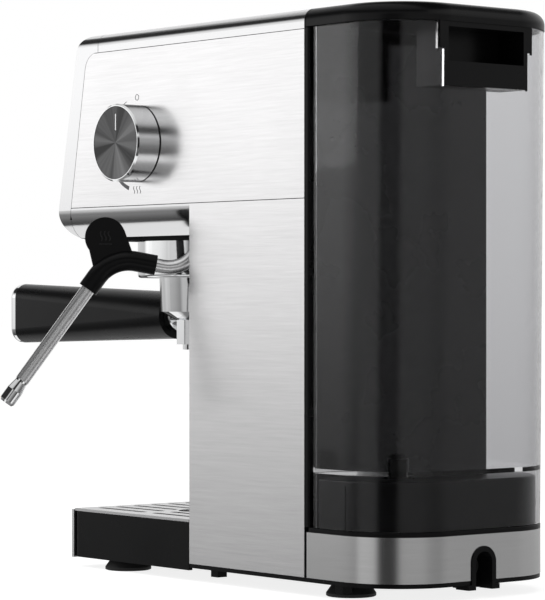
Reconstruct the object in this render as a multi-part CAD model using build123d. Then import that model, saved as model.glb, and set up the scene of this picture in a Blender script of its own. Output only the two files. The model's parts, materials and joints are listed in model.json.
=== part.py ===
from build123d import *

import os
from math import cos, hypot, radians, sin

# Slim pump espresso machine, in millimetres.
# While it is built: X = 0 is the centre plane, +X the side with the steam knob, Y = 0 the
# rear edge of the steel side panels, -Y the side of the handle, Z = 0 the worktop.
# At the end the whole machine is moved so that the origin is the bottom centre of its box.

# ---- driving dimensions ------------------------------------------------------------------
WIDTH = 127.2
HEIGHT = 305.5
FOOT_HEIGHT = 7.3
REAR_Y = 67.5              # rear face of the base band
CORNER_R = 38.5            # plan radius of the two rear corners
COLUMN_Y = -98.2           # front face of the column behind the cup space
STRIP_TOP = 9.6            # dark strip under the base band
BAND_TOP = 33.2            # top of the base band
DECK_TOP = 35.8            # top of the deck that the tank stands on
HEAD_BOTTOM = 187.4
CHIN_BOTTOM = 189.6
HEAD_SEAM = 206.7          # seam under the upper side panels
RIM_SEAM = 294.9           # seam over the upper side panels
FRAME_SEAM_Y = -183.8      # seam between the front frame and the top rim
SHEET = 1.0                # steel sheet
SECTION_SLACK = 0.02       # lets the head's rounded section cross its flat faces cleanly
SEAM_GAP = 0.35            # visible gap between neighbouring panels
LEAN = 0.1955              # how far the front face leans out, per mm downwards
SEAM_LEAN = 0.1755         # the same for the side panel's front edge
CHIN_R = 18.0              # rolled lower edges of the head
RIM_R = 7.0                # rolled upper edges at the sides
FRONT_R = 13.0             # rolled upper edge at the front
BROW_R = 17.0              # rolled lower edge at the front

GROUP_Y = -162.0           # brewing group axis
GROUP_R = 41.3
GROUP_BOTTOM = 166.4
BASKET_R = 25.8
HANDLE_Z = 144.8
HANDLE_END = 187.0         # from the group axis to the end cap's seam

KNOB_Y, KNOB_Z, KNOB_R = -146.2, 241.3, 21.7
KNOB_HEIGHT = 14.6
KNOB_BEZEL = 1.3           # width of the ring round the knob's face

WAND_X, WAND_Y = 46.0, -111.0
WAND_TURN = 57.0           # degrees out from straight ahead
TUBE_R = 3.9
BALL_R, BALL_Z = 7.0, 196.2

TRAY_FRONT = -207.5
TRAY_TOP = 33.7
TANK_FRONT = 4.0
TANK_WALL = 1.8
TANK_TOP = 295.2
TANK_FLOOR = 66.5
TANK_LEAN = 2.8            # how much further back the tank's rear face is at the top

HALF = WIDTH / 2
BACK = REAR_Y + TANK_LEAN + 0.4
WAND_START = 168.2         # height where the wand's first two runs would meet
VALVE = (28.0, 33.0)       # the tank's valve and the socket under it
DOCK_TOP = 61.3
HOSE_Z = 21.0              # height of the hose that runs forward under the deck
PUMP_Y = -51.0


# ---- small helpers -----------------------------------------------------------------------
def block(x, y, z):
    """Box between low and high values along each axis."""
    size = [hi - lo for lo, hi in (x, y, z)]
    return Pos((x[0] + x[1]) / 2, (y[0] + y[1]) / 2, (z[0] + z[1]) / 2) * Box(*size)


def rod(radius, start, end, at=(0, 0)):
    """Upright cylinder between two heights."""
    return Pos(at[0], at[1], (start + end) / 2) * Cylinder(radius, end - start)


def rod_x(radius, start, end, y, z):
    """Cylinder along X."""
    return Pos((start + end) / 2, y, z) * Rot(0, 90, 0) * Cylinder(radius, end - start)


def rod_y(radius, start, end, x, z):
    """Cylinder along Y."""
    return Pos(x, (start + end) / 2, z) * Rot(90, 0, 0) * Cylinder(radius, end - start)


def mirrored(shape):
    """The same shape on the other side of the centre plane."""
    return mirror(shape, about=Plane.YZ)


def rear_outline(inset, front, rear=REAR_Y, front_r=0):
    """Plan of the rear half: straight sides and two round rear corners."""
    back = rear - inset
    outline = Pos(0, (front + back) / 2) * Rectangle(WIDTH - 2 * inset, back - front)
    outline = fillet(outline.vertices().group_by(Axis.Y)[-1], CORNER_R - inset)
    if front_r:
        outline = fillet(outline.vertices().group_by(Axis.Y)[0], front_r)
    return outline


def rear_prism(inset, front, bottom, top, rear=REAR_Y):
    return extrude(Pos(0, 0, bottom) * rear_outline(inset, front, rear), top - bottom)


def tube_along(points, radii, radius):
    """Round bar along straight runs joined by tangent arcs."""
    path = FilletPolyline(*points, radius=radii)
    section = Plane(origin=path @ 0, z_dir=path % 0) * Circle(radius)
    return sweep(section, path=path)


# ---- head --------------------------------------------------------------------------------
def front_y(z):
    """Y of the leaning front face at height z."""
    return -203.1 - (HEIGHT - z) * LEAN


def head_block(inset=0.0):
    """Outer form of the head: the side outline's prism cut to the rounded cross-section."""
    low, high, half = HEAD_BOTTOM + inset, HEIGHT - inset, HALF - inset
    shift = inset * hypot(1, LEAN)
    brow = (front_y(low) + shift, low)
    crest = (front_y(high) + shift, high)
    side = make_face(Polyline((0, low), (0, high), crest, brow, close=True))
    side = fillet(side.vertices().sort_by_distance(crest)[0], FRONT_R - inset)
    side = fillet(side.vertices().sort_by_distance(brow)[0], BROW_R - inset)
    section = Pos(0, (low + high) / 2) * Rectangle(2 * half, high - low + 2 * SECTION_SLACK)
    levels = section.vertices().group_by(Axis.Y)
    section = fillet(levels[-1], RIM_R - inset)
    section = fillet(section.vertices().group_by(Axis.Y)[0], CHIN_R - inset)
    return across(side) & Pos(0, 1, 0) * extrude(Plane.XZ * section, 260)


def across(side):
    """A side outline (Y, Z) extruded over more than the whole width."""
    return Pos(-HALF - 2, 0, 0) * extrude(Plane.YZ * side, WIDTH + 4)


def seam_profile(gap, bottom, top, rear):
    """Side outline behind the front seam, with its rounded upper corner."""
    corner = (-194.9 + gap, RIM_SEAM)
    foot = (corner[0] - (RIM_SEAM - bottom) * SEAM_LEAN, bottom)
    seam = FRAME_SEAM_Y + gap
    outline = Polyline((rear, bottom), (rear, top), (seam, top), (seam, RIM_SEAM),
                       corner, foot, close=True)
    face = make_face(outline)
    return fillet(face.vertices().sort_by_distance(corner)[0], 11)


def behind_seam(gap):
    return across(seam_profile(gap, 150, 330, 60))


FRONT = Plane(origin=(0, front_y(256), 256), x_dir=(1, 0, 0),
              z_dir=(0, -1, LEAN))
WINDOW = (98.0, 62.0)
BUTTON_X = (-28.0, 0.0, 28.0)
BUTTON_R = 7.5
BUTTON_UP = -6.0           # buttons' height on the panel, from its middle
LAMP_UP = 17.0
LAMP_R = 2.0
CUP_SLOT_ROWS, CUP_SLOT_PITCH = 7, 9.0


def front_frame():
    """Hollow front of the head, with the window for the control panel."""
    window = FRONT * Pos(0, 0, -3) * Box(*WINDOW, 12)
    window = fillet(window.edges().filter_by(Axis((0, 0, 0), (0, -1, LEAN))), 6)
    return head_block() - head_block(2.0) - behind_seam(0) - window


def control_panel():
    """Gloss plate in the front's window, bored for the buttons and the lamps."""
    plate = FRONT * Pos(0, 0, -2.2) * Box(WINDOW[0] - 0.6, WINDOW[1] - 0.6, 2.4)
    plate = fillet(plate.edges().filter_by(Axis((0, 0, 0), (0, -1, LEAN))), 5.7)
    for x in BUTTON_X:
        plate -= FRONT * Pos(x, BUTTON_UP, 0) * Cylinder(BUTTON_R + 0.3, 20)
        plate -= FRONT * Pos(x, LAMP_UP, 0) * Cylinder(LAMP_R, 20)
    return plate


def indicator_lamps():
    return [FRONT * Pos(x, LAMP_UP, -2.0) * Cylinder(LAMP_R, 2.8) for x in BUTTON_X]


def push_button(x):
    """Round key with a flange that keeps it behind the panel."""
    cap = FRONT * Pos(x, BUTTON_UP, -2.0) * Cylinder(BUTTON_R, 6.0)
    cap = fillet(cap.edges().sort_by_distance(FRONT.from_local_coords((x, BUTTON_UP, 1.0)))[0], 0.8)
    return cap + FRONT * Pos(x, BUTTON_UP, -5.6) * Cylinder(BUTTON_R + 1.6, 1.2)


def head_side(stem_hole=False):
    """Upper side panel; the one beside the knob has the stem's hole."""
    space = block((HALF - SHEET, HALF), (-240, -SEAM_GAP), (HEAD_SEAM + 0.2, RIM_SEAM - SEAM_GAP))
    panel = behind_seam(SEAM_GAP) & space
    return panel - rod_x(5.0, HALF - 3, HALF + 3, KNOB_Y, KNOB_Z) if stem_hole else panel


def chin():
    """Rolled strip under an upper side panel."""
    skin = head_block() - head_block(1.6)
    space = block((40, 70), (-230, COLUMN_Y), (CHIN_BOTTOM, HEAD_SEAM - 0.2))
    return skin & behind_seam(SEAM_GAP) & space


def underside():
    """Plate under the head, open for the group's neck and the wand."""
    plate = head_block(0.3) & behind_seam(SEAM_GAP)
    plate &= block((-HALF, HALF), (-230, COLUMN_Y + 2), (HEAD_BOTTOM, CHIN_BOTTOM - 0.1))
    plate -= rod(12.2, 180, 195, (0, GROUP_Y))
    return plate - rod(6.5, 180, 195, (WAND_X, WAND_Y))


def top_rim():
    """Rolled rim round the cup plate."""
    region = block((-HALF, HALF), (FRAME_SEAM_Y + SEAM_GAP, -0.3), (RIM_SEAM, HEIGHT + 1))
    return (head_block() & region) - block((-57.4, 57.4), (-178, -6), (280, 320))


def cup_plate():
    """Sunken plate on top for warming cups, slotted over the heater."""
    plate = block((-57.2, 57.2), (-177.8, -6.2), (296, 303.8))
    plate -= block((-56, 56), (-176.6, -7.4), (290, 302.6))
    for side in (-1, 1):
        for row in range(CUP_SLOT_ROWS):
            slot = SlotOverall(26, 3.2)
            y = -60 - row * CUP_SLOT_PITCH
            plate -= extrude(Pos(side * 24, y, 300) * slot, 6)
    return plate


# ---- column and base ---------------------------------------------------------------------
def column_side():
    return block((HALF - SHEET, HALF), (COLUMN_Y, -SEAM_GAP), (STRIP_TOP, HEAD_SEAM - 0.2))


def column_front():
    inner = HALF - SHEET - 0.1
    return block((-inner, inner), (COLUMN_Y, COLUMN_Y + 1.2), (11, HEAD_BOTTOM - 0.2))


def rear_wall():
    wall = block((-HALF + 0.2, HALF - 0.2), (0.1, 3.0), (DECK_TOP + 0.1, TANK_TOP))
    return fillet(wall.edges().filter_by(Axis.Z).group_by(Axis.Y)[-1], 1.2)


ARCH_W, ARCH_TOP = 17.3, 27.2


def arch(width, top, bottom, start, end):
    """Upright slot with a round top, along Y."""
    round_part = rod_y(width / 2, start, end, 0, top - width / 2)
    return round_part + block((-width / 2, width / 2), (start, end), (bottom, top - width / 2))


FOOT_SPOTS = [(44.0, 14.3), (-44.0, 14.3), (49.5, -173.6), (-49.5, -173.6)]
SCREW_SPOTS = [(x, y) for x in (-30, 30) for y in (-80, -30, 30)]


def base_pan():
    """Flat floor of the casing with a platform in front that carries the tray."""
    pan = rear_prism(0.2, COLUMN_Y, FOOT_HEIGHT, STRIP_TOP)
    pan += block((-54, 54), (-198, COLUMN_Y + 1), (FOOT_HEIGHT, 10.4))
    pan -= arch(ARCH_W - 0.2, ARCH_TOP - 0.1, 0, REAR_Y - 14, REAR_Y + 2)
    for spot in SCREW_SPOTS:
        pan -= rod(1.9, FOOT_HEIGHT - 1, STRIP_TOP + 1, spot)
    return pan


def base_screws():
    return [rod(3.0, FOOT_HEIGHT - 1.45, FOOT_HEIGHT - 0.05, spot)
            + rod(1.6, FOOT_HEIGHT - 0.05, STRIP_TOP + 5, spot) for spot in SCREW_SPOTS]


def base_band():
    band = rear_prism(0, 1.6, STRIP_TOP, BAND_TOP) - rear_prism(1.0, 0, 0, 50)
    return band - arch(ARCH_W, ARCH_TOP, 0, REAR_Y - 5, REAR_Y + 5)


def foot(x, y):
    """Soft foot: a wide lip under a domed body."""
    lip = rod(13.1, 0.4, 1.8) + Pos(0, 0, 0.2) * Cone(12.4, 13.1, 0.4)
    dome = Pos(0, 0, 1.8 + (FOOT_HEIGHT - 1.8) / 2) * Cone(13.1, 9.2, FOOT_HEIGHT - 1.8)
    return Pos(x, y, 0) * (lip + dome)


def base_pegs():
    """Square locating pegs: two behind the tray and one outside each rear foot."""
    pegs = [block((x - 3.2, x + 3.2), (-91.5, -85.5), (2.3, FOOT_HEIGHT)) for x in (-50.6, 50.6)]
    return pegs + [block((x - 3.1, x + 3.1), (20.7, 26.9), (2.9, FOOT_HEIGHT)) for x in (-57.5, 57.5)]


def cable_grommet():
    """Arched cable outlet, open at the back and below, with a back wall for the gland."""
    body = arch(ARCH_W - 0.2, ARCH_TOP - 0.1, 5.0, REAR_Y - 14, REAR_Y + 0.6)
    body += block((-11, 11), (REAR_Y - 9, REAR_Y + 0.6), (4.6, FOOT_HEIGHT))
    body -= arch(11.4, ARCH_TOP - 2.9, 3.0, REAR_Y - 11, REAR_Y + 2)
    return body - rod_y(5.0, REAR_Y - 20, REAR_Y, 0, 16)


def cable_gland():
    ring = rod_y(5.0, REAR_Y - 20, REAR_Y - 9, 0, 16) - rod_y(3.6, REAR_Y - 22, REAR_Y, 0, 16)
    return ring + (rod_y(6.4, REAR_Y - 16.4, REAR_Y - 14, 0, 16)
                   - rod_y(4.9, REAR_Y - 22, REAR_Y, 0, 16))


def dock_deck():
    """Deck over the base band that carries the dock and the tank."""
    deck = rear_prism(0.0, 3.2, BAND_TOP, DECK_TOP)
    deck = fillet(deck.edges().group_by(Axis.Z)[-1].sort_by(Axis.Y)[1:], 0.5)
    return deck - rod(5, 30, 40, VALVE)


def tank_dock():
    """Raised block that the tank's skirt drops over, with the valve socket in its top."""
    dock = rear_prism(TANK_WALL + 0.8, TANK_FRONT + TANK_WALL + 0.7, DECK_TOP, DOCK_TOP)
    dock = fillet(dock.edges().filter_by(Axis.Z).group_by(Axis.Y)[0], 4)
    dock = fillet(dock.faces().sort_by(Axis.Z)[-1].edges(), 1.0)
    dock -= rear_prism(TANK_WALL + 3.2, TANK_FRONT + TANK_WALL + 3.2, DECK_TOP - 1, DOCK_TOP - 2.4)
    for side in (-1, 1):
        dock -= block((side * 61.2 - 0.7, side * 61.2 + 0.7), (29.6, 31.0), (DECK_TOP, DOCK_TOP - 3))
    dock += rod(13, DOCK_TOP - 12, DOCK_TOP - 1, VALVE)
    return dock - rod(9.0, DOCK_TOP - 9, DOCK_TOP + 1, VALVE)


def dock_seal():
    return (rod(9.0, DOCK_TOP - 9, DOCK_TOP - 6, VALVE) - rod(3.5, 40, 70, VALVE))


# ---- inside ------------------------------------------------------------------------------
def chassis():
    """Folded steel frame: back plate, two cheeks in the column and a deck in the head."""
    frame = block((-59.6, 59.6), (-5.2, -4.0), (STRIP_TOP, 286))
    frame += block((-59.6, 59.6), (-192, -4.0), (208, 209.2))
    for x in (-59.6, 58.4):
        frame += block((x, x + 1.2), (-92, -4.0), (STRIP_TOP, 209.2))
        frame += block((x, x + 1.2), (-192, -92), (203.6, 209.2))
    frame -= rod(12.4, 200, 215, (0, GROUP_Y)) + rod(12.0, 200, 215, (WAND_X, WAND_Y))
    frame -= rod(3.6, 200, 215, (0, -80))
    hose_x = VALVE[0] * (1 - VALVE[1] / (VALVE[1] - PUMP_Y))
    return frame - block((hose_x - 8, hose_x + 6), (-8, 0), (HOSE_Z - 6, HOSE_Z + 6))


def pump():
    """Vibration pump, upright in the column: coil block, piston tube, brass outlet."""
    coil = block((-21, 21), (PUMP_Y - 19, PUMP_Y + 19), (84, 128))
    coil = fillet(coil.edges().filter_by(Axis.Z), 4)
    for radius, start, end in ((13, 66, 150), (7, 150, 160), (4, 54, 66)):
        coil += rod(radius, start, end, (0, PUMP_Y))
    return coil


def pump_mounts():
    """Two rubber collars with arms that hold the pump between the chassis cheeks."""
    arms = block((-58.4, 58.4), (PUMP_Y - 4, PUMP_Y + 4), (70, 76))
    collar = arms + rod(17, 70, 76, (0, PUMP_Y)) - rod(13, 60, 80, (0, PUMP_Y))
    return [collar, Pos(0, 0, 68) * collar]


def boiler():
    """Cast block heater over the group, with ribs."""
    body = block((-35, 35), (-192, -128), (209.2, 246))
    body = fillet(body.edges().filter_by(Axis.Z), 8)
    for x in range(-30, 31, 10):
        body += block((x - 1.5, x + 1.5), (-186, -134), (246, 254))
    return body


def steam_valve():
    body = block((36, 57), (KNOB_Y - 11, KNOB_Y + 11), (KNOB_Z - 11, KNOB_Z + 11))
    body = fillet(body.edges().filter_by(Axis.X), 3)
    body += rod_x(8, 57, 60.5, KNOB_Y, KNOB_Z)
    return body - rod_x(3.06, 44, 70, KNOB_Y, KNOB_Z)


def inlet_hose():
    """From the dock's socket down under the deck and forward to the pump."""
    points = [(*VALVE, DOCK_TOP - 12), (*VALVE, HOSE_Z), (0, PUMP_Y, HOSE_Z), (0, PUMP_Y, 54)]
    return tube_along(points, [12, 12], 3.2)


def pressure_hose():
    points = [(0, PUMP_Y, 160), (0, PUMP_Y, 184), (0, -80, 196), (0, -80, 228), (0, -128, 228)]
    return tube_along(points, [8, 10, 14], 2.2)


def steam_pipe():
    points = [(WAND_X, KNOB_Y + 11, 236), (WAND_X, WAND_Y, 236), (WAND_X, WAND_Y, 203.3)]
    return tube_along(points, [9], 2.0)


def control_board():
    board = block((-57.5, -56), (-120, -20), (214, 284))
    board += block((-56, -42), (-112, -92), (224, 240)) + block((-56, -44), (-80, -58), (224, 246))
    return board + block((-56, -48), (-112, -60), (258, 272))


def wand_seat():
    """Ball socket above the underside plate."""
    seat = rod(11, 195, 203, (WAND_X, WAND_Y))
    seat += Pos(WAND_X, WAND_Y, 193) * Cone(6.4, 11, 4)
    seat -= Pos(WAND_X, WAND_Y, BALL_Z) * Sphere(BALL_R + 0.05)
    seat -= rod(5.0, 180, BALL_Z, (WAND_X, WAND_Y))
    return seat - rod(2.0, BALL_Z, 210, (WAND_X, WAND_Y))


# ---- brewing group -----------------------------------------------------------------------
def at_group(shape):
    return Pos(0, GROUP_Y, 0) * shape


LUG_R, LUG_BOTTOM, LUG_TOP = 35.6, 171.2, 175.0
ARM_R = 7.0


def sector(radius, bottom, top, middle, half_angle):
    """Pie piece around the group axis."""
    piece = extrude(Pos(0, 0, bottom) * make_face(Polyline(
        (0, 0), (60 * cos(radians(middle - half_angle)), 60 * sin(radians(middle - half_angle))),
        (60 * cos(radians(middle + half_angle)), 60 * sin(radians(middle + half_angle))),
        close=True)), top - bottom)
    return piece & rod(radius, bottom, top)


def group_head():
    """Chromed collar with a bayonet groove and a neck up to the heater."""
    body = rod(GROUP_R, GROUP_BOTTOM, HEAD_BOTTOM)
    body = fillet(body.edges().filter_by(GeomType.CIRCLE).sort_by(Axis.Z)[0], 1.8)
    body += rod(12, HEAD_BOTTOM, 209.2)
    body -= rod(31.4, GROUP_BOTTOM - 1, 181)
    body -= rod(36.2, LUG_BOTTOM - 0.5, LUG_TOP + 0.5)
    for side in (-50, 130):
        body -= sector(36.2, GROUP_BOTTOM - 1, LUG_BOTTOM, side, 24)
    return at_group(body - rod(3.2, 180, 215))


def group_gasket():
    return at_group(rod(31.2, 178.6, 181) - rod(26.4, 170, 185))


def shower_screen():
    screen = rod(25.2, 176.2, 181) - rod(23.8, 177.0, 182)
    for ring, count in ((8, 8), (14, 14), (20, 20)):
        for step in range(count):
            turn = radians(360 / count * step)
            screen -= rod(0.9, 175, 178, (ring * cos(turn), ring * sin(turn)))
    return at_group(screen + (rod(4.5, 177, 181) - rod(3.0, 170, 190)) - rod(3.0, 170, 190))


def shower_screw():
    return at_group(rod(5.0, 174.6, 176.2) + rod(3.0, 176.2, 184))


# ---- portafilter -------------------------------------------------------------------------
def portafilter_bowl():
    """Chromed bowl with two lugs, a cone below and the arm that carries the handle."""
    bowl = Pos(0, 0, 156.7) * Cone(28.0, 28.9, 19.4) + rod(30.9, GROUP_BOTTOM, 177.7)
    bowl += Pos(0, 0, 144.6) * Cone(19.8, 28.0, 4.8)
    for middle in (0, 180):
        bowl += sector(LUG_R, LUG_BOTTOM, LUG_TOP, middle, 20)
    bowl += rod_y(ARM_R, -46, -8, 0, HANDLE_Z) + rod_y(ARM_R + 3.4, -29.9, -24, 0, HANDLE_Z)
    bowl -= rod(27.0, 151.4, 180)
    return at_group(bowl - rod(3.0, 140, 155))


def filter_basket():
    cup = rod(29.4, 177.8, 178.3) + rod(BASKET_R + 0.4, 154, 178)
    return at_group(cup - rod(BASKET_R, 154.4, 180))


def spout():
    """Twin spout bar with its two outlets."""
    bar = block((-21, 21), (-4, 4), (128.2, 142.2))
    bar = fillet(bar.edges().filter_by(Axis.Z), 0.8)
    for x in (-15, 15):
        bar += rod(3.4, 125.2, 128.2, (x, 0))
        bar -= rod(2.3, 120, 136, (x, 0))
    bar -= rod_x(2.3, -17, 17, 0, 135)
    return at_group(bar - rod(2.3, 135, 150))


def handle_section(y, width, height, radius, z):
    plane = Plane(origin=(0, y, z), x_dir=(1, 0, 0), z_dir=(0, -1, 0))
    return plane * RectangleRounded(width, height, radius)


def handle_grip():
    grip = loft([handle_section(-30.2, 27.4, 27.6, 13.6, 144.7),
                 handle_section(-HANDLE_END, 17.6, 36.9, 8.7, 145.3)])
    return at_group(grip - rod_y(ARM_R, -46, -20, 0, HANDLE_Z))


def handle_cap():
    cap = extrude(handle_section(-HANDLE_END, 17.6, 36.9, 8.7, 145.3), 7.6)
    return at_group(fillet(cap.faces().sort_by(Axis.Y)[0].edges(), 5.0))


# ---- steam knob and wand -----------------------------------------------------------------
def knob_body():
    """Chromed ring with a fine bevel and a recess for the face disc."""
    start = HALF + 0.6
    body = rod_x(KNOB_R, start, start + KNOB_HEIGHT, KNOB_Y, KNOB_Z)
    body = chamfer(body.edges().filter_by(GeomType.CIRCLE).sort_by(Axis.X)[-1], 0.9)
    body -= rod_x(KNOB_R - KNOB_BEZEL, start + KNOB_HEIGHT - 1.2, start + KNOB_HEIGHT + 1,
                  KNOB_Y, KNOB_Z)
    return body - rod_x(3.0, start - 1, start + 9, KNOB_Y, KNOB_Z)


def knob_face():
    """Face disc with the groove of the pointer."""
    end = HALF + 0.6 + KNOB_HEIGHT
    disc = rod_x(KNOB_R - KNOB_BEZEL - 0.05, end - 1.2, end - 0.2, KNOB_Y, KNOB_Z)
    groove = block((end - 0.5, end + 1), (KNOB_Y - 0.5, KNOB_Y + 0.5), (KNOB_Z + 6.5, KNOB_Z + 16.5))
    return disc - groove


def valve_stem():
    return rod_x(3.0, 44.5, HALF + 9.6, KNOB_Y, KNOB_Z)


def on_wand(shape):
    """From the wand's own plane (X outwards from the pivot) to its place."""
    return Pos(WAND_X, WAND_Y, 0) * Rot(0, 0, WAND_TURN - 90) * shape


BEND = (49.3, 177.6)
DROP = (0.585, -0.811)     # direction of the wand's lower run
NOZZLE_RUN = 84.0          # from the bend's corner to the start of the nozzle


def wand_point(run):
    return (BEND[0] + DROP[0] * run, 0, BEND[1] + DROP[1] * run)


def tube_run(length):
    """Steam tube: down from the ball, out along the arm, and down the lower run."""
    points = [(0, 0, BALL_Z), (0, 0, WAND_START), (BEND[0], 0, BEND[1]), wand_point(length)]
    return tube_along(points, [17.5, 21.5], TUBE_R)


def wand_tube():
    ball = Pos(0, 0, BALL_Z) * Sphere(BALL_R)
    return on_wand(ball + tube_run(NOZZLE_RUN))


def wand_nozzle():
    """Turned nozzle: narrow neck, flare, rounded end with the steam hole."""
    profile = make_face(Polyline((0, 0), (3.75, 0), (3.6, 1.2), (4.6, 6.8), (4.6, 13.8),
                                 (3.6, 15.2), (0, 15.2), close=True))
    solid = revolve(Plane.XZ * profile, axis=Axis.Z) - rod(1.0, 6, 20)
    place = Plane(origin=wand_point(NOZZLE_RUN), z_dir=(DROP[0], 0, DROP[1]))
    return on_wand(place * solid)


def wand_sleeve():
    """Heat-proof sleeve round the bend with a flat thumb tab standing on it."""
    start = (24.7, 0, 172.9)
    points = [start, (BEND[0], 0, BEND[1]), wand_point(22.2)]
    skin = tube_along(points, [21.5], 5.6)
    tab = make_face(Polyline((63.6, 190.2), (59.2, 171.0), (50, 168), (36.5, 176.5),
                             (42.2, 192.4), close=True))
    tab = Plane.XZ * (tab + Pos(52.7, 188.2) * Circle(11.2))
    skin += extrude(tab, 1.5, both=True)
    return on_wand(skin - tube_run(60))


# ---- drip tray ---------------------------------------------------------------------------
FLOAT = (20.0, -147.0)


def drip_tray():
    """Tub with side skirts that straddle the base's front platform."""
    tub = block((-HALF + 0.3, HALF - 0.3), (TRAY_FRONT, COLUMN_Y - 0.8), (5.8, TRAY_TOP - 1.6))
    tub = fillet(tub.edges().filter_by(Axis.Z).group_by(Axis.Y)[0], 4)
    inside = block((-60.8, 60.8), (TRAY_FRONT + 2.4, COLUMN_Y - 3.2), (12.6, TRAY_TOP))
    tub -= fillet(inside.edges().filter_by(Axis.Z), 3)
    tub -= block((-60.8, 60.8), (TRAY_FRONT + 2.4, COLUMN_Y), (5, 10.5))
    return tub


def tray_strip():
    """Metal facing across the tray's front."""
    strip = block((-HALF + 0.1, HALF - 0.1), (TRAY_FRONT - 4.4, TRAY_FRONT), (5.4, TRAY_TOP - 0.8))
    return fillet(strip.edges().filter_by(Axis.Z).group_by(Axis.Y)[0], 3.4)


def grille():
    """Slotted steel plate; its slots run from front to back in two rows."""
    plate = block((-HALF + 0.6, HALF - 0.6), (TRAY_FRONT + 0.4, COLUMN_Y - 1.2),
                  (TRAY_TOP - 1.5, TRAY_TOP))
    slot = Rot(0, 0, 90) * SlotOverall(44, 4.6)
    for column in range(-4, 5):
        for y in (-178, -126):
            plate -= extrude(Pos(column * 12.6, y, TRAY_TOP - 3) * slot, 6)
    boss = rod(14, TRAY_TOP - 1.5, TRAY_TOP, FLOAT)
    return plate + boss - rod(11, 0, 50, FLOAT)


def tray_float():
    """Full-tray float: a cup that rises through the round opening."""
    return rod(9.6, 12.9, 29.5, FLOAT) - rod(8.2, 12, 27.5, FLOAT)


# ---- water tank --------------------------------------------------------------------------
def tank_outline(inset, z):
    """Tank plan at height z; the rear face stands further back higher up."""
    rear = REAR_Y - 0.2 + TANK_LEAN * (z - DECK_TOP) / (TANK_TOP - DECK_TOP)
    return Pos(0, 0, z) * rear_outline(inset, TANK_FRONT + inset, rear, 4.5 - inset)


def tank_prism(inset, bottom, top):
    return loft([tank_outline(inset, bottom), tank_outline(inset, top)], ruled=True)


def tank_shell():
    """Clear tank: walls, a floor above the dock and a skirt round it, notched for the grip."""
    shell = tank_prism(0.0, DECK_TOP + 0.3, TANK_TOP)
    shell -= tank_prism(TANK_WALL, TANK_FLOOR, TANK_TOP + 2)
    shell -= tank_prism(TANK_WALL, DECK_TOP - 2, TANK_FLOOR - 2.4)
    shell -= block((-29.6, 29.6), (55, 80), (262.4, 310))
    shell -= block((-33.4, 33.4), (55, 80), (281.4, 310))
    return shell - rod(4.0, 50, 80, VALVE)


def tank_valve():
    """Valve body through the floor with its strainer cap."""
    body = rod(4.0, 56, 74, VALVE) + rod(7.4, TANK_FLOOR - 6.4, TANK_FLOOR - 2.4, VALVE)
    return body + rod(5.4, TANK_FLOOR, TANK_FLOOR + 5, VALVE)


def tank_lid():
    """Cap over the tank with rolled upper edges and a hollow underneath."""
    lid = rear_prism(0.0, 0.6, TANK_TOP + 0.5, HEIGHT, BACK)
    upper = lid.faces().sort_by(Axis.Z)[-1].edges()
    lid = fillet(upper.sort_by(Axis.Y)[1:], RIM_R)
    return lid - rear_prism(8.0, 8.6, TANK_TOP, HEIGHT - 3, BACK)


def lid_grip():
    """Finger pocket hung from the lid: open at the back over a deep lip, with two ears."""
    top = TANK_TOP + 0.5
    box = block((-29.3, 29.3), (48.5, 69.9), (263, top))
    box -= block((-26.6, 26.6), (50.9, 67.6), (265.4, 293))
    box -= block((-26.6, 26.6), (60, 80), (275.5, 293))
    for side in (-1, 1):
        x = sorted((side * 28.9, side * 32.5))
        box += block(x, (66.5, 69.9), (282.4, top))
    return box - rear_prism(7.9, 8.5, TANK_TOP - 1, top + 5, BACK)


# ---- assembly ----------------------------------------------------------------------------
def build():
    """Every piece under its node name; a list is a group of separate solids."""
    pieces = {
        "base_pan": base_pan(), "base_screws": base_screws(), "base_band": base_band(),
        "base_pegs": base_pegs(), "cable_grommet": cable_grommet(), "cable_gland": cable_gland(),
        "dock_deck": dock_deck(), "tank_dock": tank_dock(), "dock_seal": dock_seal(),
        "column_panel_right": column_side(), "column_panel_left": mirrored(column_side()),
        "column_front": column_front(), "rear_wall": rear_wall(), "chassis": chassis(),
        "head_panel_right": head_side(True), "head_panel_left": mirrored(head_side()),
        "front_frame": front_frame(), "control_panel": control_panel(),
        "indicator_lamps": indicator_lamps(), "chin_right": chin(),
        "chin_left": mirrored(chin()), "underside": underside(), "top_rim": top_rim(),
        "cup_plate": cup_plate(), "pump": pump(), "pump_mounts": pump_mounts(),
        "boiler": boiler(), "steam_valve": steam_valve(), "inlet_hose": inlet_hose(),
        "pressure_hose": pressure_hose(), "steam_pipe": steam_pipe(),
        "control_board": control_board(), "wand_seat": wand_seat(),
        "group_head": group_head(), "group_gasket": group_gasket(),
        "shower_screen": shower_screen(), "shower_screw": shower_screw(),
        "portafilter_bowl": portafilter_bowl(), "filter_basket": filter_basket(),
        "spout": spout(), "handle_grip": handle_grip(), "handle_cap": handle_cap(),
        "knob_body": knob_body(), "knob_face": knob_face(), "valve_stem": valve_stem(),
        "wand_tube": wand_tube(), "wand_nozzle": wand_nozzle(), "wand_sleeve": wand_sleeve(),
        "drip_tray": drip_tray(), "tray_strip": tray_strip(), "grille": grille(),
        "tray_float": tray_float(), "tank_shell": tank_shell(), "tank_valve": tank_valve(),
        "tank_lid": tank_lid(), "lid_grip": lid_grip(),
    }
    for name, x in zip(("button_left", "button_middle", "button_right"), BUTTON_X):
        pieces[name] = push_button(x)
    pieces["feet"] = [foot(x, y) for x, y in FOOT_SPOTS]
    return pieces


def as_shape(piece):
    """One shape for export: a list becomes a group of separate solids."""
    if isinstance(piece, list):
        return Compound(children=[solid for part in piece for solid in part.solids()])
    return piece


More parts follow.
